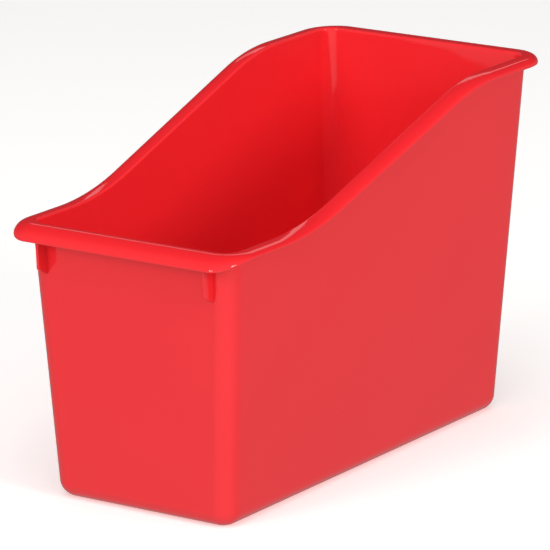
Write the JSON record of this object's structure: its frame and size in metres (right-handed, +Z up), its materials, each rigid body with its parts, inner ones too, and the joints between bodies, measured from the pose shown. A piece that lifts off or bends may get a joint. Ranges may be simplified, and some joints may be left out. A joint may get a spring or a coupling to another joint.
{
  "type": "open storage bin",
  "caption": "Open-topped drafted plastic bin for books and art supplies, with a low front, a rear that rises in a long S-curve, a turned-down rim and stacking ribs.",
  "frame": {"origin": "on the plane that the bin stands on, at the middle of its overall length and width", "axes": "+Z up, +Y from the low front to the high rear, +X to the right when the front is faced from the front"},
  "size_m": [0.1446, 0.2924, 0.1902],
  "materials": {
    "red_polypropylene": "moulded, semi-gloss"
  },
  "bodies": {
    "root": {"floor_pan": "red_polypropylene", "front_wall": "red_polypropylene", "rear_wall": "red_polypropylene", "left_wall": "red_polypropylene", "right_wall": "red_polypropylene", "front_lip": "red_polypropylene", "rear_lip": "red_polypropylene", "left_rim": "red_polypropylene", "right_rim": "red_polypropylene", "front_left_rib": "red_polypropylene", "front_right_rib": "red_polypropylene", "rear_left_rib": "red_polypropylene", "rear_right_rib": "red_polypropylene"}
  },
  "joints": []
}
